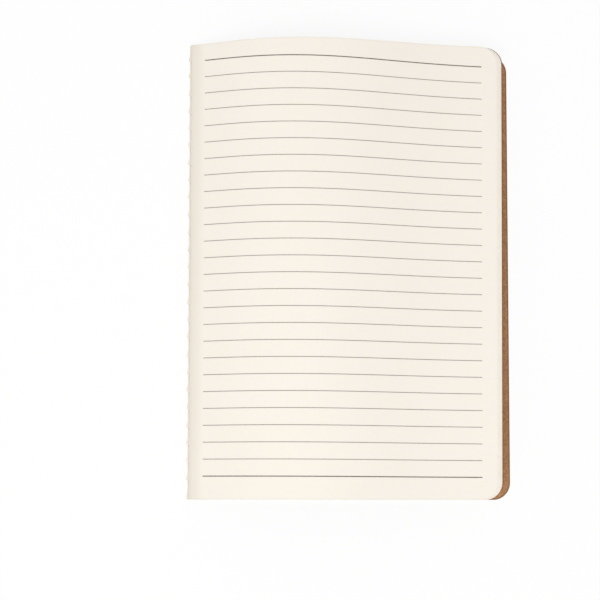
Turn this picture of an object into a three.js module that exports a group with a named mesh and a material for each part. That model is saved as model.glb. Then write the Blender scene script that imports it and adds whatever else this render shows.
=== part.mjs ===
// A sewn A5 notebook with a kraft card cover, opened at its centre spread and folded back.
// One section of folded sheets is nested inside the cover, and one seam through the fold holds it all.
// Millimetres. X runs from the fold to the fore-edge, Y up the page and Z up from the table.
// The ruled page that the reader writes on is right_leaf_01, on top. left_leaf_01 lies on the table.
import * as THREE from 'three';

// Driving dimensions. The cover and its sheets are trimmed together, to one width and one height.
// The width is measured along the sheet, from its crease to its fore-edge.
const pageHeight = 210;
const trimmedWidth = 148;
const leafCount = 16;
const paperThickness = 0.11;
const paperPitch = 0.14;
const coverThickness = 0.35;
const cornerRadius = 8;
const cornerSteps = 5;

// The bend at the fold, where the card is creased tightest and each sheet wraps round the last
const coverBendRadius = 0.35;
const layerClearance = 0.025;
const hingeClearance = 0.05;
const bendSteps = 10;
const bendTail = 0.3;
const rightTailSlope = 1.7;
const leftTailSlope = 0.75;

// The springy arch of the upper half. It is highest a good third of the way across, and its
// fore-edge stands up from the half below, because the folded card wants to open again.
const archHeight = 20;
const archRise = 1.3;
const archFall = 2.8;
const archSlack = 3;
const archFirstRun = 4.2;
const archSpread = 1.15;
const archStations = 16;
const foreEdgeLift = 16;
const foreEdgeSkew = 0.7;

// The seam through the fold
const stitchCount = 26;
const needleThreadRadius = 0.25;
const bobbinThreadRadius = 0.2;
const threadClearance = 0.05;
const stitchRise = 0.7;
const swellStart = 0.54;
const swellTop = 0.92;
const threadSides = 8;

const paper = { color: 0xf4efe6, roughness: 0.85, metalness: 0 };
const kraftCard = { color: 0xac7950, roughness: 0.9, metalness: 0 };
const cottonThread = { color: 0xece2d0, roughness: 0.95, metalness: 0 };

const archSpan = trimmedWidth - archSlack;

// Depths count outwards from the middle of the fold. Leaf 1 is the centre sheet's, outermost here.
const coverDepth = coverBendRadius;
const lastLeafDepth = coverDepth + coverThickness + layerClearance;
const leafDepth = (leaf) => lastLeafDepth + (leafCount - leaf) * paperPitch;
const foldReach = leafDepth(1) + paperThickness;
const foldHeight = foldReach;
const seamReach = foldReach + threadClearance + 2 * needleThreadRadius + stitchRise;
const rightTail = (depth) => bendTail + rightTailSlope * (depth - coverDepth);
const leftTail = (depth) => bendTail + leftTailSlope * (depth - coverDepth);

// The stations of the arch: points along the sheet with the normal there and the length so far.
// All layers of the upper half share them, each at its own depth along the normals.
function makeArch() {
  const shape = (u) => u ** archRise * (1 - u) ** archFall;
  const peak = shape(archRise / (archRise + archFall));
  const points = [new THREE.Vector2(0, 0)];
  const first = archFirstRun / archSpan;
  for (let i = 0; i < archStations; i += 1) {
    const u = first + (1 - first) * (i / (archStations - 1)) ** archSpread;
    const lifted = foreEdgeLift * THREE.MathUtils.smoothstep(u, 0, 1);
    points.push(new THREE.Vector2(archSpan * u, (archHeight * shape(u)) / peak + lifted));
  }
  const normals = points.slice(1).map((point, i) => {
    const along = point.clone().sub(points[i]).normalize();
    return new THREE.Vector2(-along.y, along.x);
  });
  let length = 0;
  return points.map((point, i) => {
    if (i > 0) length += point.distanceTo(points[i - 1]);
    const before = normals[Math.max(0, i - 1)];
    const after = normals[Math.min(normals.length - 1, i)];
    return { point, normal: before.clone().add(after).normalize(), length };
  });
}

const arch = makeArch();
const liftOff = Math.atan2(arch[1].point.y, arch[1].point.x);

// The place on the arched upper half at a length along the sheet and a depth, past the last station too
function onArch(length, depth) {
  const found = arch.findIndex((station) => station.length >= length);
  const next = found < 1 ? (found === 0 ? 1 : arch.length - 1) : found;
  const [a, b] = [arch[next - 1], arch[next]];
  const share = (length - a.length) / (b.length - a.length);
  const point = a.point.clone().lerp(b.point, share);
  const normal = a.normal.clone().lerp(b.normal, share);
  return [point.x + depth * normal.x, foldHeight + point.y + depth * normal.y];
}

// The place on the flat lower half
function onTable(length, depth) {
  return [length, foldHeight - depth];
}

// Joins rings of points, each with the same number of sides, into one closed body
function loft(positions, rings, sides) {
  const index = [];
  for (let ring = 0; ring < rings - 1; ring += 1) {
    for (let side = 0; side < sides; side += 1) {
      const a = ring * sides + side;
      const b = ring * sides + ((side + 1) % sides);
      index.push(a, b, b + sides, a, b + sides, a + sides);
    }
  }
  const last = (rings - 1) * sides;
  for (let side = 1; side < sides - 1; side += 1) {
    index.push(0, side + 1, side);
    index.push(last, last + side, last + side + 1);
  }
  const geometry = new THREE.BufferGeometry();
  geometry.setAttribute('position', new THREE.Float32BufferAttribute(positions, 3));
  geometry.setIndex(index);
  geometry.computeVertexNormals();
  return geometry;
}

// Half of a folded sheet, from start to end along it, with round corners at the fore-edge.
// place(length, depth) puts it, lower and upper are its depths there, and skew slants it.
function leafSolid(place, start, end, lower, upper, skew) {
  const cornerStart = end - cornerRadius;
  const inner = arch.map((station) => station.length).filter((length) => length > start && length < end);
  const columns = new Set([start, ...inner]);
  for (let i = 0; i <= cornerSteps; i += 1) {
    columns.add(cornerStart + cornerRadius * Math.sin((i / cornerSteps) * (Math.PI / 2)));
  }
  const lengths = [...columns].sort((a, b) => a - b);
  const positions = [];
  for (const length of lengths) {
    const into = Math.max(0, length - cornerStart);
    const round = Math.sqrt(Math.max(0, cornerRadius ** 2 - into ** 2));
    const half = pageHeight / 2 - cornerRadius + round;
    for (const [y, depth] of [[-half, lower], [half, lower], [half, upper], [-half, upper]]) {
      const [x, z] = place(length, depth);
      const slant = (skew * length * y) / (trimmedWidth * (pageHeight / 2));
      positions.push(x + slant, y, z);
    }
  }
  return loft(positions, lengths.length, 4);
}

// The section of one layer's bend: round the fold from the arch to the table, with a short tail each way
function bendSection(depth, thickness) {
  const turn = (radius, share) => {
    const angle = Math.PI / 2 + liftOff + (Math.PI - liftOff) * share;
    return new THREE.Vector2(radius * Math.cos(angle), foldHeight + radius * Math.sin(angle));
  };
  const outer = depth + thickness;
  const shares = Array.from({ length: bendSteps + 1 }, (unused, i) => i / bendSteps);
  const tail = rightTail(depth);
  return new THREE.Shape([
    new THREE.Vector2(...onArch(tail, outer)),
    ...shares.map((share) => turn(outer, share)),
    new THREE.Vector2(leftTail(depth), foldHeight - outer),
    new THREE.Vector2(leftTail(depth), foldHeight - depth),
    ...shares.reverse().map((share) => turn(depth, share)),
    new THREE.Vector2(...onArch(tail, depth)),
  ]);
}

function bendSolid(depth, thickness) {
  const geometry = new THREE.ExtrudeGeometry(bendSection(depth, thickness), {
    depth: pageHeight,
    bevelEnabled: false,
  });
  geometry.rotateX(Math.PI / 2);
  geometry.translate(0, pageHeight / 2, 0);
  return geometry;
}

// A thread along the fold at distance reach from its middle. Its stations lie at the given shares of
// every stitch. Where it swells, it grows away from the fold and stays on it with its inner side.
function threadSolid(reach, radius, shares, swell) {
  const stations = [];
  for (let stitch = 0; stitch < stitchCount; stitch += 1) {
    for (const share of shares) stations.push([(stitch + share) / stitchCount, swell(share)]);
  }
  stations.push([1, 0]);
  const positions = [];
  for (const [along, swollen] of stations) {
    const x = -(reach + swollen / 2);
    for (let side = 0; side < threadSides; side += 1) {
      const angle = (2 * Math.PI * side) / threadSides;
      const across = (radius + swollen / 2) * Math.cos(angle);
      positions.push(x + across, pageHeight * (0.5 - along), foldHeight + radius * Math.sin(angle));
    }
  }
  return loft(positions, stations.length, threadSides);
}

// Each needle stitch lies flat from the head side of its run, swells towards its foot and drops at its hole
function stitchSwell(share) {
  const rising = (share - swellStart) / (swellTop - swellStart);
  const falling = (1 - share) / (1 - swellTop);
  return stitchRise * Math.max(0, Math.min(rising, falling));
}

const straight = () => 0;
const notebook = new THREE.Group();

function add(name, geometry, look) {
  const mesh = new THREE.Mesh(geometry, new THREE.MeshStandardMaterial(look));
  mesh.name = name;
  notebook.add(mesh);
}

// One folded layer: its right half on the arch, its left half on the table and the bend between them
function addLayer(names, depth, thickness, look) {
  const outer = depth + thickness;
  const rightEnd = trimmedWidth - depth * (Math.PI / 2 - liftOff);
  const leftEnd = trimmedWidth - depth * (Math.PI / 2);
  const rightStart = rightTail(depth) + hingeClearance;
  const leftStart = leftTail(depth) + hingeClearance;
  add(names.right, leafSolid(onArch, rightStart, rightEnd, depth, outer, foreEdgeSkew), look);
  add(names.left, leafSolid(onTable, leftStart, leftEnd, outer, depth, 0), look);
  add(names.bend, bendSolid(depth, thickness), look);
}

const coverNames = { right: 'back_cover', left: 'front_cover', bend: 'cover_fold' };
addLayer(coverNames, coverDepth, coverThickness, kraftCard);

for (let leaf = 1; leaf <= leafCount; leaf += 1) {
  const number = String(leaf).padStart(2, '0');
  const names = {
    right: `right_leaf_${number}`,
    left: `left_leaf_${number}`,
    bend: `sheet_fold_${number}`,
  };
  addLayer(names, leafDepth(leaf), paperThickness, paper);
}

const needleReach = foldReach + threadClearance + needleThreadRadius;
const needleShares = [0, swellStart, (swellStart + swellTop) / 2, swellTop];
const needleThread = threadSolid(needleReach, needleThreadRadius, needleShares, stitchSwell);
const bobbinThread = threadSolid(0, bobbinThreadRadius, [0], straight);
add('needle_thread', needleThread, cottonThread);
add('bobbin_thread', bobbinThread, cottonThread);

// The origin is on the table, under the middle of the notebook
const coverEdge = trimmedWidth - coverDepth * (Math.PI / 2);
notebook.position.set((seamReach - coverEdge) / 2, 0, 0);
notebook.updateMatrixWorld(true);

export default notebook;
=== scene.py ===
# %% [markdown]
# A lined notebook, opened at its centre spread and folded back on itself.
# The real object is a very simple book: one sheet of kraft card and sixteen sheets of cream paper, all
# folded once, nested in each other and sewn through the fold with one machine seam.
# In this lesson every sheet is a thin closed surface. Each is worked out with numpy as a function of two
# numbers, how far along the sheet a point lies and how far up the page, because paper is exactly that: a
# flat thing that bends but never stretches. A cloth simulation could bend it too, but it would stretch
# the paper a little and let neighbouring pages cut each other.

# %% Load the frame
import math
import bpy
import numpy as np
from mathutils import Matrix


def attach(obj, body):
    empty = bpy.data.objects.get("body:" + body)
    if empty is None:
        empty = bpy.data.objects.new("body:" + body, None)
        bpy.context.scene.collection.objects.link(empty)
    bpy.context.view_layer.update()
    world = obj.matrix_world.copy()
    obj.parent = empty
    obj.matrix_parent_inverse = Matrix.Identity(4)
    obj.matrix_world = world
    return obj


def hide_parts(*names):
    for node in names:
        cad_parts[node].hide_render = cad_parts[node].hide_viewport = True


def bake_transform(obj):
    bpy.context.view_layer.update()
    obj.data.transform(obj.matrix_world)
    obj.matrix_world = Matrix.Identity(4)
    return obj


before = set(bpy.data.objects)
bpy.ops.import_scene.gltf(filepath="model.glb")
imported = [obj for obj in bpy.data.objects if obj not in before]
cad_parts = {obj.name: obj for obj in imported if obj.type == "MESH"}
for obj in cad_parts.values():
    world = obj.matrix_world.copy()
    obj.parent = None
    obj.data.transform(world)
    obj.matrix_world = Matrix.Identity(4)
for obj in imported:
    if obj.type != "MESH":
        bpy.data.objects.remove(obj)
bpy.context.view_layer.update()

# %% [markdown]
# All sizes are in millimetres, as a bookbinder would give them, and one factor turns them to metres
# when a mesh is made. Depths are counted outwards from the middle of the fold. The notebook is folded
# the wrong way round, so the cover is innermost and the centre sheet lies outermost. On each side the
# bends end a little past the fold, where the halves of the sheets begin. Deeper layers end further out.

# %% Sizes of the notebook
MM = 0.001
page_height, trimmed_width, corner_radius = 210.0, 148.0, 8.0
sheet_count, paper_thickness, paper_pitch = 16, 0.11, 0.14
card_thickness, cover_depth, layer_gap = 0.35, 0.35, 0.025
tail_start, right_tail_slope, left_tail_slope = 0.3, 1.7, 0.75


def sheet_depth(number):
    """Inner depth of a sheet: the cover's outer depth, a gap, and one pitch for each sheet inside it."""
    return cover_depth + card_thickness + layer_gap + (sheet_count - number) * paper_pitch


def tail_length(depth, slope):
    """How far a bend reaches past the fold: a start, plus the slope times the depth past the cover's."""
    return tail_start + slope * (depth - cover_depth)


fold_reach = sheet_depth(1) + paper_thickness
needle_radius, thread_gap, stitch_rise, stitch_count = 0.25, 0.05, 0.7, 26
seam_reach = fold_reach + thread_gap + 2 * needle_radius + stitch_rise
fold_x = (seam_reach - (trimmed_width - cover_depth * math.pi / 2)) / 2
fold_z = fold_reach
print(f"fold at x {fold_x:.2f} mm, height {fold_z:.2f} mm;", end=" ")
print(f"paper on each side {sheet_count * paper_pitch:.2f} mm")

# %% [markdown]
# The upper half of the notebook springs up into an arch, because card that is folded back wants to open
# again. It leaves the fold in a short straight run, rises to its highest point a good third of the way
# across and falls slowly to its free edge, which stays well above the half below. The curve
# u^rise (1 - u)^fall makes the hump, and a smooth step lifts the free edge.
# A lattice or a bent modifier could curve the sheets one by one. Here all layers share this one curve,
# each moved out along its normals, so they can never cut each other.

# %% The arch
arch_slack = 3.0
arch_height, arch_rise, arch_fall, arch_span = 20.0, 1.3, 2.8, trimmed_width - arch_slack
first_run, fore_edge_lift, fore_edge_skew = 4.2, 16.0, 0.7
table_rows, slope_rows = 4001, 61


def arch_curve(u):
    """Height at a share u of the span, straight at first: u^rise (1 - u)^fall over its own peak, times
    the arch's height, plus a smooth step u^2 (3 - 2 u) times the lift of the fore-edge."""
    top = arch_rise / (arch_rise + arch_fall)
    peak = top**arch_rise * (1 - top) ** arch_fall
    first = first_run / arch_span
    at = np.maximum(u, first)
    hump = arch_height * at**arch_rise * (1 - at) ** arch_fall / peak
    curve = hump + fore_edge_lift * at * at * (3 - 2 * at)
    return np.where(u < first, curve * u / first, curve)


arch_u = np.linspace(0, 1, table_rows)
arch_x, arch_z = arch_span * arch_u, arch_curve(arch_u)
# The running mean over some two millimetres rounds the corner at the end of the straight run
arch_slope = np.pad(np.gradient(arch_z, arch_x), slope_rows // 2, mode="edge")
arch_slope = np.convolve(arch_slope, np.ones(slope_rows) / slope_rows, mode="valid")
arch_step = np.hypot(1, arch_slope)
arch_normal_x, arch_normal_z = -arch_slope / arch_step, 1 / arch_step
arch_length = np.concatenate([[0], np.cumsum(np.hypot(np.diff(arch_x), np.diff(arch_z)))])
lift_off = math.atan(arch_slope[0])
print(f"arch is {arch_length[-1]:.2f} mm long and leaves the fold at {math.degrees(lift_off):.1f} degrees")

# %% [markdown]
# Every layer is made of three runs: a right half on the arch, a bend round the fold and a left half flat
# on the table. One path describes the middle line of all three, with its normals. A point of any layer
# is the path's point plus its depth times the normal.

# %% The path that all layers follow
def right_half(length):
    """Point and normal on the arch at a length from the fold's middle, by interpolation in the table."""
    columns = (arch_x, arch_z, arch_normal_x, arch_normal_z)
    return tuple(np.interp(length, arch_length, column) for column in columns)


def left_half(length):
    """Point and normal on the table side: straight out along x, with the normal pointing down."""
    zero = np.zeros_like(length)
    return length, zero, zero, zero - 1


def round_the_fold(angle):
    """Point and normal in the bend: the point stays in the fold's middle, the normal turns by the angle."""
    return np.zeros_like(angle), np.zeros_like(angle), np.cos(angle), np.sin(angle)


# %% [markdown]
# A sheet is then a block with two broad faces and a thin rim. A plane with a Solidify modifier would
# give the same block, but its layers would not stay at exact depths round a bend as tight as this one.
# So it is made from a grid: the columns run along the sheet and the rows up the page. The fore-edge
# corners are round, so the rows draw together there. Each point also keeps its place on the flat sheet
# in millimetres, in an attribute called "sheet". The ruling and the fibres are drawn with it later, and
# so they follow the paper when it bends.
# The broad faces are smooth, and the rim's faces are flat with all their edges marked sharp. Without
# the marks, and a row of points close to the rim, the shading would lean over the edge and make the page
# look like a pillow. Paper this thin is cut square, so it has no bevel.

# %% A mesh with flat-sheet coordinates
def new_piece(name, points, faces, smooth, notes):
    """A mesh object from arrays of points (mm) and quads, with its own flat-sheet coordinates. An edge is
    sharp where one of the faces beside it isn't smooth."""
    mesh = bpy.data.meshes.new(name)
    mesh.from_pydata((points * MM).tolist(), [], faces.tolist())
    mesh.polygons.foreach_set("use_smooth", smooth)
    edge_of_corner = np.empty(len(mesh.loops), np.int32)
    mesh.loops.foreach_get("edge_index", edge_of_corner)
    beside_flat = edge_of_corner[~np.repeat(smooth, 4)]
    sharp = np.bincount(beside_flat, minlength=len(mesh.edges)) > 0
    mesh.edges.foreach_set("use_edge_sharp", sharp)
    attribute = mesh.attributes.new("sheet", "FLOAT_VECTOR", "POINT")
    attribute.data.foreach_set("vector", notes.astype(np.float32).ravel())
    mesh.update()
    piece = bpy.data.objects.new(name, mesh)
    bpy.context.scene.collection.objects.link(piece)
    return piece


# %% From a grid to a closed sheet
edge_share = 0.998


def half_height(length, end):
    """Half the page's height at a length: full, then a quarter circle of the corner's radius at the end."""
    into = np.clip(length - (end - corner_radius), 0, corner_radius)
    return page_height / 2 - corner_radius + np.sqrt(corner_radius**2 - into**2)


def closed_sheet(name, path, along, halves, rows, lower, upper, skew=0.0):
    """Both faces of a sheet from its path (x, z, nx, nz), and the rim that joins them.

    A point is (x + depth nx + slant, half height times v, z + depth nz), with v from -1 to 1. The slant
    is the skew times the share of the width and the share of the height."""
    x, z, nx, nz = path
    v = np.concatenate([[-1], np.linspace(-edge_share, edge_share, rows), [1]])
    columns, rows = len(x), len(v)
    face_points, face_notes = [], []
    for depth in (lower + 0 * x, upper + 0 * x):
        px = (x + depth * nx)[:, None] + np.zeros(rows)
        pz = (z + depth * nz)[:, None] + np.zeros(rows)
        py = halves[:, None] * v
        px = px + skew * px * py / (trimmed_width * page_height / 2)
        face_points.append(np.stack([px + fold_x, py, pz + fold_z], -1).reshape(-1, 3))
        places = [along[:, None] + 0 * py, py, depth[:, None] + 0 * py]
        face_notes.append(np.stack(places, -1).reshape(-1, 3))
    ids = np.arange(columns * rows).reshape(columns, rows)
    corners = [ids[:-1, :-1], ids[1:, :-1], ids[1:, 1:], ids[:-1, 1:]]
    quads = np.stack(corners, -1).reshape(-1, 4)
    ring = np.concatenate([ids[:, 0], ids[-1, 1:], ids[-2::-1, -1], ids[0, -2:0:-1]])
    after = np.roll(ring, -1)
    upper_face = columns * rows
    rim = np.stack([ring, after, after + upper_face, ring + upper_face], -1)
    faces = np.concatenate([quads[:, ::-1], quads + upper_face, rim])
    smooth = np.concatenate([np.ones(2 * len(quads), bool), np.zeros(len(rim), bool)])
    return new_piece(name, np.concatenate(face_points), faces, smooth, np.concatenate(face_notes))


# %% [markdown]
# Now the colours. One function turns the hex values of a paint chart into the linear values that the
# renderer needs, and one small function adds any node, sets it and links it.
# Two kinds of node come back in all the finishes. A soft step fades a stain out: its five inputs are a
# distance, where the stain is still full, where it has gone, and the numbers 1 and 0. A mix lays one
# colour over another: a Mix node keeps its share in input 0 and its two colours in inputs 6 and 7, and
# gives the mixed colour in output 2. A stain's ends are given as one pair, full and gone.

# %% Colours and nodes
def linear(hex_colour):
    """sRGB hex to linear: c / 12.92 in the darks, ((c + 0.055) / 1.055)^2.4 above."""
    c = np.array([int(hex_colour[i : i + 2], 16) for i in (1, 3, 5)]) / 255
    return (*np.where(c <= 0.04045, c / 12.92, ((c + 0.055) / 1.055) ** 2.4).tolist(), 1.0)


def add_node(tree, kind, inputs=(), output=0, **settings):
    """One node of a kind, with its settings. Its inputs, in order or by number or name, each get a plain
    value or the output of another node. It gives back the one output that is asked for."""
    node = tree.nodes.new("ShaderNode" + kind)
    for setting, value in settings.items():
        setattr(node, setting, value)
    pairs = inputs.items() if isinstance(inputs, dict) else enumerate(inputs)
    for socket, value in pairs:
        if isinstance(value, bpy.types.NodeSocket):
            tree.links.new(value, node.inputs[socket])
        else:
            node.inputs[socket].default_value = value
    return node.outputs[output]


soft_step = {"interpolation_type": "SMOOTHSTEP"}
two_colours = {"output": 2, "data_type": "RGBA", "clamp_factor": True}


def new_material(name, sockets):
    """A material with its node tree and its Principled surface, whose own sockets get plain values."""
    material = bpy.data.materials.new(name)
    material.use_nodes = True
    surface = material.node_tree.nodes["Principled BSDF"]
    for socket, value in sockets.items():
        surface.inputs[socket].default_value = value
    return material, material.node_tree, surface


# %% [markdown]
# All patterns are laid out on the flat sheet. One of them, a noise whose features have a size in
# millimetres, serves for clouds, fibres and fluff alike. It can be turned and then drawn out along the
# turned direction. A Mapping node scales before it turns, so this takes two of them in a row.

# %% Places and grain on the flat sheet
def sheet_axis(tree, axis):
    """A point's place on the flat sheet in millimetres: along it from the crease (0) or up the page (1)."""
    place = add_node(tree, "Attribute", output="Vector", attribute_name="sheet")
    return add_node(tree, "SeparateXYZ", (place,), output=axis)


def crease_distance(tree):
    """Distance from the crease along the sheet, on either side of it."""
    return add_node(tree, "Math", (sheet_axis(tree, 0),), operation="ABSOLUTE")


def sheet_pattern(tree, size, turn=0.0):
    """The place on the flat sheet, turned about the page's normal and divided by a size on each axis."""
    place = add_node(tree, "Attribute", output="Vector", attribute_name="sheet")
    turned = add_node(tree, "Mapping", {"Vector": place, "Rotation": (0, 0, turn)})
    return add_node(tree, "Mapping", {"Vector": turned, "Scale": tuple(1 / side for side in size)})


def grain(tree, size, detail=2.0, roughness=0.5, turn=0.0, stretch=1.0):
    """Noise with features size millimetres wide, and stretch times as long along the turned x axis."""
    place = sheet_pattern(tree, (size * stretch, size, size), turn)
    inputs = {"Vector": place, "Scale": 1.0, "Detail": detail, "Roughness": roughness}
    return add_node(tree, "TexNoise", inputs)


# %% [markdown]
# The ruling is thin grey offset ink. The lines could be narrow strips of mesh, but they would float on
# the paper or flicker in it. They are drawn by the material instead: a point's distance from the
# nearest line comes from its place on the sheet. They sit about 7.6 mm apart, the first and the last are
# heavier, and the print is a little out of square, as in the real book. The lines are tilted about a
# point near the middle of the page, more at the head than at the foot.

# %% The ruling
line_pitch, first_line, line_count = 7.637, 8.675, 26
tilt_at_head, tilt_at_foot, tilt_centre = 0.0138, 0.0031, 73.5
margin_at_fold, margin_at_fore_edge = 8.3, 7.8
thin_line, heavy_line, ink_blur, margin_blur = 0.34, 0.48, 0.08, 0.15
half_step = 0.5  # whole numbers are told apart by half a step


def nearest_line(tree):
    """The number of the nearest line, and the distance to it in millimetres. The distance below the
    first line, less the tilt times the distance from its centre, is counted in pitches and rounded."""
    up = sheet_axis(tree, 1)
    below_first = add_node(tree, "Math", (page_height / 2 - first_line, up), operation="SUBTRACT")
    tilt_change = (tilt_at_foot - tilt_at_head) / (line_pitch * (line_count - 1))
    tilt = add_node(tree, "Math", (below_first, tilt_change, tilt_at_head), operation="MULTIPLY_ADD")
    across = add_node(tree, "Math", (crease_distance(tree), tilt_centre), operation="SUBTRACT")
    drift = add_node(tree, "Math", (across, tilt), operation="MULTIPLY")
    level = add_node(tree, "Math", (below_first, drift), operation="SUBTRACT")
    row = add_node(tree, "Math", (level, line_pitch), operation="DIVIDE")
    nearest = add_node(tree, "Math", (row,), operation="ROUND")
    off = add_node(tree, "Math", (row, nearest), operation="SUBTRACT")
    off = add_node(tree, "Math", (off,), operation="ABSOLUTE")
    return nearest, add_node(tree, "Math", (off, line_pitch), operation="MULTIPLY")


def ruling_mask(tree):
    """How much ink lies at a point: 1 within half a line's width of the nearest line, 0 away from it and
    in the margins. A second mask is 1 where that line is a heavy one."""
    nearest, off = nearest_line(tree)
    last = line_count - 1
    is_first = add_node(tree, "Math", (nearest, 0.0, half_step), operation="COMPARE")
    is_last = add_node(tree, "Math", (nearest, last, half_step), operation="COMPARE")
    heavy = add_node(tree, "Math", (is_first, is_last), operation="ADD")
    widening = (heavy_line - thin_line) / 2
    width = add_node(tree, "Math", (heavy, widening, thin_line / 2), operation="MULTIPLY_ADD")
    past_ink = add_node(tree, "Math", (off, width), operation="SUBTRACT")
    ink = add_node(tree, "MapRange", (past_ink, -ink_blur / 2, ink_blur / 2, 1, 0), **soft_step)
    ruled = add_node(tree, "Math", (nearest, last / 2, last / 2 + half_step), operation="COMPARE")
    centre = (margin_at_fold + trimmed_width - margin_at_fore_edge) / 2
    reach = (trimmed_width - margin_at_fore_edge - margin_at_fold) / 2
    off_centre = add_node(tree, "Math", (crease_distance(tree), centre), operation="SUBTRACT")
    off_centre = add_node(tree, "Math", (off_centre,), operation="ABSOLUTE")
    ends = (off_centre, reach - margin_blur / 2, reach + margin_blur / 2, 1, 0)
    inside = add_node(tree, "MapRange", ends, **soft_step)
    drawn = add_node(tree, "Math", (ink, ruled), operation="MULTIPLY")
    return add_node(tree, "Math", (drawn, inside), operation="MULTIPLY"), heavy


# %% [markdown]
# The cut edges are a shade darker. On the paper that is painted shade for the shadows between the leaves,
# with a little handling dirt, and these edges draw the thin lines of a block of pages. The needle leaves a
# row of small holes in the crease. Both could be painted by hand on a texture, but they follow from plain
# distances on the flat sheet: to the rounded outline and to the nearest hole. The real holes are hidden by
# the thread in most views, so a dark disc of painted shade stands in for each.

# %% Edges and holes
hole_ends = (0.325, 0.575)


def edge_distance(tree):
    """Distance to the nearest cut edge, within a corner radius of it: the radius less the length of what
    the place reaches past the inner rectangle. Round corners come out right by themselves."""
    squares = []
    for axis, side in enumerate((trimmed_width, page_height / 2)):
        place = add_node(tree, "Math", (sheet_axis(tree, axis),), operation="ABSOLUTE")
        past = add_node(tree, "Math", (place, side - corner_radius), operation="SUBTRACT")
        past = add_node(tree, "Math", (past, 0.0), operation="MAXIMUM")
        squares.append(add_node(tree, "Math", (past, 2.0), operation="POWER"))
    reach = add_node(tree, "Math", squares, operation="ADD")
    reach = add_node(tree, "Math", (reach,), operation="SQRT")
    return add_node(tree, "Math", (corner_radius, reach), operation="SUBTRACT")


def needle_holes(tree):
    """1 in the needle's holes: small discs in the crease, one between every two stitches. The place down
    the page is counted in stitches, and the nearest whole number but the first and the last is a hole."""
    pitch = page_height / stitch_count
    down = add_node(tree, "Math", (page_height / 2, sheet_axis(tree, 1)), operation="SUBTRACT")
    run = add_node(tree, "Math", (down, pitch), operation="DIVIDE")
    hole = add_node(tree, "Math", (run,), operation="ROUND")
    off = add_node(tree, "Math", (run, hole), operation="SUBTRACT")
    off = add_node(tree, "Math", (off, pitch), operation="MULTIPLY")
    off = add_node(tree, "Math", (off, 2.0), operation="POWER")
    across = add_node(tree, "Math", (sheet_axis(tree, 0), 2.0), operation="POWER")
    distance = add_node(tree, "Math", (off, across), operation="ADD")
    distance = add_node(tree, "Math", (distance,), operation="SQRT")
    disc = add_node(tree, "MapRange", (distance, *hole_ends, 1, 0), **soft_step)
    middle = stitch_count / 2
    inside = add_node(tree, "Math", (hole, middle, middle - half_step), operation="COMPARE")
    return add_node(tree, "Math", (disc, inside), operation="MULTIPLY")


# %% [markdown]
# The pages are uncoated book paper of about 80 grams, the creamy sort. It is matt, with a cloudy look
# from the way that the fibres settled on the mill's wire: clouds about 20 mm wide, and small flocks of
# 1 to 2 mm. Its tooth shows only in raking light. Real tooth is some 0.05 mm wide, which is too fine for
# a picture of the whole notebook, so it is drawn at a third of a millimetre.
# A grey strip along the crease is painted shade for the page's steep rise out of the fold, with a little of
# the grey of fibres bruised by folding. The painted shade is lighter at the fold's edge itself.

# %% Ruled book paper
cloud_size, flock_size, edge_shade_size, ink_break_size = 22.0, 1.6, 3.0, 0.5
less_shade_ends, fold_shade_ends, edge_shade_ends = (0.8, 2.4), (2.5, 9.5), (0.2, 1.0)
flock_share, less_shade_share, fold_shade_share, edge_shade_share, hole_shade_share = 0.5, 0.3, 0.38, 0.3, 0.7
ink_least, ink_play = 0.62, 0.5
tooth_size, tooth_strength, tooth_depth = 0.35, 0.25, 0.03


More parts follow.
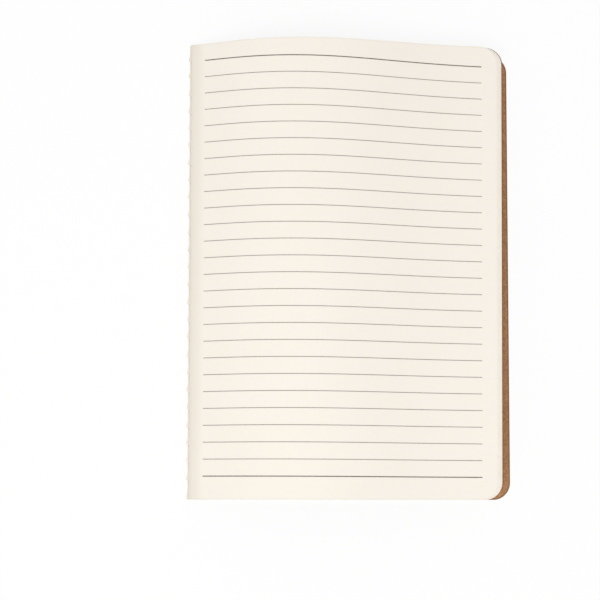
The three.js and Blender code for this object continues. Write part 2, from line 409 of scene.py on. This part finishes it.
def ruled_book_paper():
    """Cream uncoated paper: a cloudy base, painted shade along the fold and at the cut edges, holes drawn
    in painted shade, grey lines and tooth. Each step mixes one more colour over the last, by a mask times a
    strength."""
    looks = {"Roughness": 0.92, "IOR": 1.5, "Specular IOR Level": 0.3}
    material, tree, surface = new_material("ruled_book_paper", looks)
    cloud = grain(tree, cloud_size, detail=3.0)
    shades = {0: cloud, 6: linear("#F5EEE4"), 7: linear("#F8F2E9")}
    base = add_node(tree, "Mix", shades, **two_colours)
    flocks = (grain(tree, flock_size, detail=4.0, roughness=0.6), flock_share)
    flocks = add_node(tree, "Math", flocks, operation="MULTIPLY")
    base = add_node(tree, "Mix", {0: flocks, 6: base, 7: linear("#EFE8DB")}, **two_colours)
    crease = crease_distance(tree)
    # Painted shade along the crease for the page's steep rise, partly bruised fibres, and lighter at the
    # fold's edge
    less_shade_at_edge = add_node(tree, "MapRange", (crease, *less_shade_ends, 1, 0), **soft_step)
    fold_shade = add_node(tree, "MapRange", (crease, *fold_shade_ends, 1, 0), **soft_step)
    fold_shade = add_node(tree, "Math", (less_shade_at_edge, -less_shade_share, fold_shade), operation="MULTIPLY_ADD")
    fold_shade = add_node(tree, "Math", (fold_shade, fold_shade_share), operation="MULTIPLY", use_clamp=True)
    base = add_node(tree, "Mix", {0: fold_shade, 6: base, 7: linear("#D9CFC0")}, **two_colours)
    # Painted shade at the cut edges for the shadows between the leaves, with a little handling dirt
    edge_shade = add_node(tree, "MapRange", (edge_distance(tree), *edge_shade_ends, 1, 0), **soft_step)
    edge_shade = add_node(tree, "Math", (edge_shade, grain(tree, edge_shade_size)), operation="MULTIPLY")
    edge_shade = add_node(tree, "Math", (edge_shade, edge_shade_share), operation="MULTIPLY")
    base = add_node(tree, "Mix", {0: edge_shade, 6: base, 7: linear("#D3CDC0")}, **two_colours)
    # Painted shade in the needle's holes, which the mesh doesn't have: a dark disc at each
    hole_shade = add_node(tree, "Math", (needle_holes(tree), hole_shade_share), operation="MULTIPLY")
    base = add_node(tree, "Mix", {0: hole_shade, 6: base, 7: linear("#6E6254")}, **two_colours)
    drawn, heavy = ruling_mask(tree)
    inks = {0: heavy, 6: linear("#82756B"), 7: linear("#453B33")}
    ink = add_node(tree, "Mix", inks, **two_colours)
    broken = (grain(tree, ink_break_size), ink_play, ink_least)
    broken = add_node(tree, "Math", broken, operation="MULTIPLY_ADD", use_clamp=True)
    drawn = add_node(tree, "Math", (drawn, broken), operation="MULTIPLY")
    colour = add_node(tree, "Mix", {0: drawn, 6: base, 7: ink}, **two_colours)
    tree.links.new(colour, surface.inputs["Base Color"])
    height = grain(tree, tooth_size, detail=4.0, roughness=0.65)
    tooth = {"Height": height, "Strength": tooth_strength, "Distance": tooth_depth * MM}
    tree.links.new(add_node(tree, "Bump", tooth), surface.inputs["Normal"])
    return material


book_paper = ruled_book_paper()
print("ruled paper:", len(book_paper.node_tree.nodes), "nodes; last line", end=" ")
print(f"{first_line + (line_count - 1) * line_pitch:.1f} mm from the head")

# %% [markdown]
# The cover is plain kraft card, made from unbleached wood fibres. Close up it is a felt of short fibres
# in all directions, some paler and some darker than the rest, with a few dark flecks of bark. The felt
# could be scattered hair, but it is far quicker to build from thin stretched noise turned four ways.
# Real fibres are about 0.03 mm wide, which no picture of the whole notebook could show, so they are drawn
# about 0.2 mm wide. The crease is rubbed paler, and the card is darker along its cut edges.

# %% Kraft card
mottle_size, fibre_width, fibre_stretch, fibre_turns = 2.4, 0.22, 9.0, (0.3, 1.1, 1.9, 2.7)
fleck_spacing, fleck_size, fleck_cloud_size = (4.5, 4.0, 4.0), 0.16, 5.0
pale_ends, dark_ends, fleck_ends = (0.35, 0.41), (0.34, 0.4), (-0.015, 0.015)
rub_ends, cut_edge_dark_ends = (0.2, 1.2), (0.1, 0.9)
fibre_share, fleck_share, rub_share, cut_edge_dark_share = 0.35, 0.7, 0.35, 0.75
felt_size, felt_strength, felt_depth, fibre_relief = 0.5, 0.35, 0.06, 0.5


def kraft_card():
    """Brown felt of fibres: a mottled base, four directions of thin streaks, bark flecks, a rubbed crease
    and darker cut edges. The relief is a fine felt plus half of each streak."""
    looks = {"Roughness": 0.88, "IOR": 1.5, "Specular IOR Level": 0.35}
    material, tree, surface = new_material("kraft_card", looks)
    mottle = grain(tree, mottle_size, detail=5.0, roughness=0.65)
    shades = {0: mottle, 6: linear("#96683F"), 7: linear("#C08C62")}
    colour = add_node(tree, "Mix", shades, **two_colours)
    relief = grain(tree, felt_size, detail=4.0, roughness=0.6)
    for turn in fibre_turns:
        streak = grain(tree, fibre_width, 1.0, 0.4, turn, fibre_stretch)
        inverse = add_node(tree, "Math", (1.0, streak), operation="SUBTRACT")
        pale = add_node(tree, "MapRange", (inverse, *pale_ends, 1, 0), **soft_step)
        pale = add_node(tree, "Math", (pale, fibre_share), operation="MULTIPLY")
        colour = add_node(tree, "Mix", {0: pale, 6: colour, 7: linear("#D0A57C")}, **two_colours)
        dark = add_node(tree, "MapRange", (streak, *dark_ends, 1, 0), **soft_step)
        dark = add_node(tree, "Math", (dark, fibre_share), operation="MULTIPLY")
        colour = add_node(tree, "Mix", {0: dark, 6: colour, 7: linear("#7D5230")}, **two_colours)
        raised = add_node(tree, "Math", (streak, fibre_relief), operation="MULTIPLY")
        relief = add_node(tree, "Math", (relief, raised), operation="ADD")
    flecks = {"Vector": sheet_pattern(tree, fleck_spacing), "Scale": 1.0}
    flecks = add_node(tree, "TexVoronoi", flecks)
    size = (grain(tree, fleck_cloud_size, detail=0.0), fleck_size)
    size = add_node(tree, "Math", size, operation="MULTIPLY")
    flecks = add_node(tree, "Math", (flecks, size), operation="SUBTRACT")
    flecks = add_node(tree, "MapRange", (flecks, *fleck_ends, 1, 0), **soft_step)
    flecks = add_node(tree, "Math", (flecks, fleck_share), operation="MULTIPLY")
    colour = add_node(tree, "Mix", {0: flecks, 6: colour, 7: linear("#5F3D22")}, **two_colours)
    rubbed = add_node(tree, "MapRange", (crease_distance(tree), *rub_ends, 1, 0), **soft_step)
    rubbed = add_node(tree, "Math", (rubbed, rub_share), operation="MULTIPLY")
    colour = add_node(tree, "Mix", {0: rubbed, 6: colour, 7: linear("#CFA984")}, **two_colours)
    # The card is made darker along its cut edges
    cut_edge_dark = add_node(tree, "MapRange", (edge_distance(tree), *cut_edge_dark_ends, 1, 0), **soft_step)
    cut_edge_dark = add_node(tree, "Math", (cut_edge_dark, cut_edge_dark_share), operation="MULTIPLY")
    colour = add_node(tree, "Mix", {0: cut_edge_dark, 6: colour, 7: linear("#6F4B2D")}, **two_colours)
    tree.links.new(colour, surface.inputs["Base Color"])
    felt = {"Height": relief, "Strength": felt_strength, "Distance": felt_depth * MM}
    tree.links.new(add_node(tree, "Bump", felt), surface.inputs["Normal"])
    return material


cover_card = kraft_card()
print("kraft card:", len(cover_card.node_tree.nodes), "nodes")

# %% [markdown]
# The thread is unbleached three-ply sewing cotton, about half a millimetre thick and quite matt. The
# plies are real geometry, described below. The material only adds the fluff: fine streaks that run
# along the plies, drawn wider than the real fibres, which are a fiftieth of a millimetre thick.

# %% Cotton thread
streak_width, streak_turn, streak_stretch = 0.08, 0.9, 5.0
fluff_strength, fluff_depth = 0.4, 0.03


def sewing_cotton():
    """Cream matt cotton with fine streaks along the thread, which also give it its fluffy relief."""
    looks = {"Roughness": 0.95, "IOR": 1.5, "Specular IOR Level": 0.25, "Sheen Weight": 0.15}
    material, tree, surface = new_material("sewing_cotton", looks)
    streaks = grain(tree, streak_width, 2.0, 0.5, streak_turn, streak_stretch)
    shades = {0: streaks, 6: linear("#DDD2C0"), 7: linear("#F8F2E6")}
    tree.links.new(add_node(tree, "Mix", shades, **two_colours), surface.inputs["Base Color"])
    fluff = {"Height": streaks, "Strength": fluff_strength, "Distance": fluff_depth * MM}
    tree.links.new(add_node(tree, "Bump", fluff), surface.inputs["Normal"])
    return material


thread_cotton = sewing_cotton()
print("sewing cotton:", len(thread_cotton.node_tree.nodes), "nodes")

# %% [markdown]
# With the path and the paper ready, the layers are quick to make. Each half but the top leaf rides on its
# own body, so that it can turn like a page. A half starts a little inside its bend and is a hundredth of a
# millimetre thicker on each face there, so that no light comes through the joint and the sheet looks like
# one. The bends and the top leaf stay where they are made.

# %% One half of a sheet
joint_lap, joint_sleeve, sleeve_length, curl_length = 0.4, 0.01, 3.2, 14.0
page_rows, corner_columns = 24, 12


def dress(piece, node, material):
    """Gives a piece its material and hides the solid that it replaces."""
    piece.data.materials.append(material)
    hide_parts(node)


def half_sheet(name, node, body, side, lower, upper, columns, material, slot, trim=0.0):
    """One half of a layer, from the end of its bend to its round-cornered fore-edge.

    Its length is the trimmed width, less what the bend takes (the depth times the bend's angle) and less
    a small trim. The columns lie closer round the corner, at the radius times the sine of even angles."""
    right = side == "right"
    wrap = lower * (math.pi / 2 - (lift_off if right else 0))
    start = tail_length(lower, right_tail_slope if right else left_tail_slope)
    end = trimmed_width - wrap - trim
    run = np.linspace(start, end - corner_radius, columns)
    turn = np.linspace(0, math.pi / 2, corner_columns + 1)[1:]
    corner = end - corner_radius + corner_radius * np.sin(turn)
    length = np.concatenate([[start - joint_lap], run, corner])
    path = (right_half if right else left_half)(length)
    sleeve = joint_sleeve * np.clip(1 - (length - start) / sleeve_length, 0, 1)
    skew = fore_edge_skew if right else 0.0
    halves, below, above = half_height(length, end), lower - sleeve, upper + sleeve
    piece = closed_sheet(name, path, length + wrap, halves, page_rows, below, above, skew)
    if not right:
        piece.data.flip_normals()
    dress(piece, node, material)
    if node == "right_leaf_01":
        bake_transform(piece)
    else:
        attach(piece, body)


# %% [markdown]
# A bend is the same kind of block, carried round the fold: a short tail down from the arch, a turn of
# 150 degrees at the layer's own depth, and a short tail along the table. A torus section would give the
# turn alone, without tails that run smoothly into the halves. The ends are slanted by a few hundredths
# of a millimetre, so that no two end faces lie in one plane when the bends close up. Faces that share a
# plane come out in black patches.

# %% One bend
end_slant, end_step = 0.06, 0.006
arch_columns, turn_columns, table_columns = 8, 25, 4


def bend(name, node, lower, upper, rows, material, slot):
    """The bend of a layer: the arch side's tail, the turn round the fold and the table side's tail. It
    is shorter up the page than the halves by a slant along its path and a step times its depth."""
    arch_run = np.linspace(tail_length(lower, right_tail_slope), 0, arch_columns + 1)[:-1]
    angles = np.linspace(math.pi / 2 + lift_off, 1.5 * math.pi, turn_columns)
    table_run = np.linspace(0, tail_length(lower, left_tail_slope), table_columns + 1)[1:]
    parts = (right_half(arch_run), round_the_fold(angles), left_half(table_run))
    path = [np.concatenate(column) for column in zip(*parts)]
    wrap_right, wrap_left = lower * (math.pi / 2 - lift_off), lower * math.pi / 2
    along = [arch_run + wrap_right, lower * (math.pi - angles), -(table_run + wrap_left)]
    along = np.concatenate(along)
    halves = page_height / 2 - end_slant * np.linspace(0, 1, len(along)) - end_step * lower
    piece = closed_sheet(name, path, along, halves, rows, lower, upper)
    piece.data.flip_normals()
    dress(piece, node, material)
    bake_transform(piece)


# %% [markdown]
# The cover is one sheet of card, three times as thick as the paper, and the layer with the tightest
# bend. It is the first to be made, since all the paper lies outside it. Its two halves are called by
# their names on a closed notebook: the front cover lies on the table here, and the back cover is up
# under the page. On the arch it needs more columns than on the table, where it is flat.

# %% The cover
card_outer = cover_depth + card_thickness
cover_columns_right, cover_columns_left, cover_bend_rows = 70, 40, 40
card = (cover_depth, card_outer)
finish = (cover_card, "cover_card")
half_sheet("kraft_back_cover", "back_cover", "back_half", "right", *card, cover_columns_right, *finish)
half_sheet("kraft_front_cover", "front_cover", "front_half", "left", *card, cover_columns_left, *finish)
bend("kraft_cover_fold", "cover_fold", *card, cover_bend_rows, *finish)
print("cover made: three pieces of card,", card_thickness, "mm thick")

# %% [markdown]
# The book was trimmed while it was closed the right way round. The centre sheets stick out furthest
# then, so they lose a few tenths of a millimetre more. Paper also creeps a little in use. Seeded
# noise gives every sheet its own small difference, and so the fore-edge shows single pages. The top
# sheet gets more columns than the others, because the light shows the whole of its arch.

# %% The sixteen sheets
creep_per_sheet, creep_noise = 0.03, 0.12
top_columns, arch_side_columns, table_side_columns, paper_bend_rows = 110, 60, 30, 30
finish = (book_paper, "ruled_paper")
uneven = np.random.default_rng(16).random(sheet_count + 1)
for number in range(1, sheet_count + 1):
    depths = (sheet_depth(number), sheet_depth(number) + paper_thickness)
    tag = f"{number:02d}"
    trim = creep_per_sheet * (sheet_count - number) + creep_noise * float(uneven[number])
    columns = {"right": top_columns if number == 1 else arch_side_columns, "left": table_side_columns}
    for side, many in columns.items():
        node = f"{side}_leaf_{tag}"
        half_sheet(f"ruled_{node}", node, f"{node}_body", side, *depths, many, *finish, trim)
    bend(f"ruled_sheet_fold_{tag}", f"sheet_fold_{tag}", *depths, paper_bend_rows, *finish)
print("sheets made:", sheet_count, "each in three runs")

# %% [markdown]
# The seam is a lockstitch. The needle thread shows in the gutter of the centre spread, which is the
# outside of the fold here. It lies flat along the fold, swells towards the foot of each stitch and then
# dives through its hole, so the fold's edge gets a row of small lobes. No two of them are quite as high.
# A three-ply thread is a tube whose section has three lobes, and the lobes turn as they run along it. A
# bevelled curve would give a round tube without plies, so the tube is worked out as a surface too.

# %% The stitches and the plies
swell_start, swell_top = 0.54, 0.92
place_play, place_beat, height_play, height_beat = 0.03, 1.7, 0.14, 2.4
thread_rings, thread_sides, ply_depth, twist_length = 2340, 12, 0.1, 2.4
just_before = 1e-6


def stitch_swell(run):
    """Swelling at a place along the seam, in stitches: none over the first half of each stitch, a straight
    rise to its top and a quick drop to the hole, half softened by a smooth step. Slow sines vary the
    stitches: one the height and one the place of the top, by up to 0.06 of a stitch towards the head."""
    stitch = np.floor(run)
    share = run % 1.0 + place_play * (1 + np.sin(place_beat * stitch))
    slope = np.minimum((share - swell_start) / (swell_top - swell_start), (1 - share) / (1 - swell_top))
    slope = np.clip(slope, 0, 1)
    soft = 0.5 * slope + 0.5 * slope * slope * (3 - 2 * slope)
    return stitch_rise * soft * (1 - height_play + height_play * np.sin(height_beat * stitch))


def plied_thread(name, node, reach, radius, swell):
    """A tube along the fold. Its radius at angle a and place t is r (1 - d + d cos(3 (a - twist t))), with
    the plies' depth d. Where it swells it is stretched away from the fold, so that its inner side stays
    on the paper."""
    share = np.linspace(0, 1, thread_rings)
    y = page_height * (0.5 - share)
    # The last ring belongs to the last stitch and not to one after it
    swollen = swell(np.minimum(share * stitch_count, stitch_count - just_before))
    x = -(reach + swollen / 2)
    angle = np.linspace(0, 2 * math.pi, thread_sides, endpoint=False)
    twist = 2 * math.pi * (share * page_height) / twist_length
    plies = np.cos(3 * (angle[None, :] - twist[:, None]))
    section = radius * (1 - ply_depth + ply_depth * plies)
    px = x[:, None] + section * np.cos(angle) * (1 + swollen / (2 * radius))[:, None]
    pz = section * np.sin(angle) + 0 * px
    points = np.stack([px + fold_x, y[:, None] + 0 * px, pz + fold_z], -1).reshape(-1, 3)
    ids = np.arange(thread_rings * thread_sides).reshape(thread_rings, thread_sides)
    beside = np.roll(ids, -1, axis=1)
    quads = np.stack([ids[:-1], beside[:-1], beside[1:], ids[1:]], -1).reshape(-1, 4)
    # Each end is closed by a fan of quads that share the ring's first point
    fan = [(0, k, k + 1, k + 2) for k in range(1, thread_sides - 2, 2)]
    ends = np.concatenate([ids[0][::-1][fan], ids[-1][fan]])
    faces = np.concatenate([quads, ends])
    smooth = np.concatenate([np.ones(len(quads), bool), np.zeros(len(ends), bool)])
    notes = np.stack([y[:, None] + 0 * px, radius * angle + 0 * px, 0 * px], -1).reshape(-1, 3)
    piece = new_piece(name, points, faces, smooth, notes)
    dress(piece, node, thread_cotton)
    return piece


# %% [markdown]
# The bobbin thread runs along the inside of the cover's fold and turns with the fold's middle. When the
# notebook is spread flat, the gutter lies between the flat half and the foot of the arch. The needle thread
# stays where it is made.

# %% The two threads
bobbin_radius = 0.2
needle_reach = fold_reach + thread_gap + needle_radius
needle = ("cotton_needle_thread", "needle_thread", needle_reach, needle_radius)
needle_thread = plied_thread(*needle, stitch_swell)
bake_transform(needle_thread)
bobbin = ("cotton_bobbin_thread", "bobbin_thread", 0.0, bobbin_radius)
bobbin_thread = plied_thread(*bobbin, np.zeros_like)
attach(bobbin_thread, "fold_line")
print("seam made:", stitch_count, "stitches,", round(page_height / stitch_count, 2), "mm each")

# %% [markdown]
# The notebook lies on a white table. Its floor is a plain matt white that catches the soft shadow. It
# would come out pale grey at a plain level of light, so where it is looked at, directly or in a mirror
# or a glass, most of it is a plain white glow, and the rest still takes the shadow. The background turns
# white that way, while the light on the paper stays at a plain level. More light would do it too, but it
# would burn out the page.

# %% The table
glow_share, table_half, table_drop = 0.88, 3.0, 0.0001


def seen_directly(tree):
    """1 for camera, mirror and glass rays, 0 for the rays that carry light between surfaces."""
    rays = add_node(tree, "LightPath").node.outputs
    seen = (rays["Is Camera Ray"], rays["Is Glossy Ray"])
    seen = add_node(tree, "Math", seen, operation="MAXIMUM")
    return add_node(tree, "Math", (seen, rays["Is Transmission Ray"]), operation="MAXIMUM")


def white_table():
    """Matt white, mixed with a plain white glow that only camera, mirror and glass rays see."""
    looks = {"Base Color": linear("#F7F7F6"), "Roughness": 0.9}
    material, tree, surface = new_material("white_table", looks)
    glow = add_node(tree, "Emission", {"Color": (1, 1, 1, 1), "Strength": 1.0})
    share = add_node(tree, "Math", (seen_directly(tree), glow_share), operation="MULTIPLY")
    mixed = add_node(tree, "MixShader", (share, surface.outputs[0], glow))
    tree.links.new(mixed, tree.nodes["Material Output"].inputs["Surface"])
    return material


corners = [(x * table_half, y * table_half, -table_drop) for x, y in ((-1, -1), (1, -1), (1, 1), (-1, 1))]
table_mesh = bpy.data.meshes.new("table")
table_mesh.from_pydata(corners, [], [(0, 1, 2, 3)])
table_mesh.materials.append(white_table())
table = bpy.data.objects.new("table", table_mesh)
bpy.context.scene.collection.objects.link(table)
print("table made:", 2 * table_half, "m wide")

# %% [markdown]
# The light is one large soft lamp above, on the side of the fold and towards the foot of the page, in a
# white room. The room gives a good half of the light and looks plain white wherever it is seen. The lamp
# leans to the side of the arch's rising slope, so the page stays even, and the raised upper half keeps
# some light off the strip of cover beyond its fore-edge. A sun would be simpler, but its sharp shadow
# would cut that strip in two. Places and sizes are in metres here, and the power is in watts.

# %% Light
room_light = 0.55
world = bpy.data.worlds.new("white_room")
bpy.context.scene.world = world
world.use_nodes = True
background = world.node_tree.nodes["Background"]
background.inputs["Color"].default_value = (1, 1, 1, 1)
strength = (seen_directly(world.node_tree), 1 - room_light, room_light)
strength = add_node(world.node_tree, "Math", strength, operation="MULTIPLY_ADD")
world.node_tree.links.new(strength, background.inputs["Strength"])


def soft_lamp(name, place, size, power):
    """A square area lamp, size metres wide, that points from its place at the notebook's middle: tilted
    by atan(distance aside / height) and turned to face along the line to the middle."""
    data = bpy.data.lights.new(name, "AREA")
    data.size, data.energy = size, power
    lamp = bpy.data.objects.new(name, data)
    lamp.location = place
    direction = -np.array(place)
    flat = math.hypot(direction[0], direction[1])
    turn = math.atan2(direction[1], direction[0]) - math.pi / 2
    lamp.rotation_euler = (math.atan2(flat, -direction[2]), 0, turn)
    bpy.context.scene.collection.objects.link(lamp)
    return lamp


key_lamp = soft_lamp("key_lamp", (-0.30, -0.47, 1.52), 0.7, 13.6)
print(f"lamp: {key_lamp.data.energy:.1f} W, {key_lamp.data.size:.1f} m wide; room light {room_light}")

# %% [markdown]
# The camera stands 0.92 m above the table, level with the foot of the page and some 9 cm beyond the
# fold, and leans about ten degrees towards the middle of the page. It could be set up by eye, but the
# curves of the ruled lines give its place and lens exactly. That lens is a focal length in pixels, and
# the width of the sensor turns it to millimetres.

# %% Camera
focal_pixels, picture_pixels, sensor_width = 2009.08, 600, 36.0
camera_data = bpy.data.cameras.new("camera")
camera_data.sensor_width = sensor_width
camera_data.lens = focal_pixels / picture_pixels * sensor_width
camera = bpy.data.objects.new("camera", camera_data)
camera.location = (-0.1598, -0.104234, 0.918821)
camera.rotation_euler = (0.0981, -0.148, 0.00098)
bpy.context.scene.collection.objects.link(camera)
bpy.context.scene.camera = camera
bpy.context.scene.view_settings.view_transform = "Standard"
print(f"camera: {camera_data.lens:.1f} mm lens")
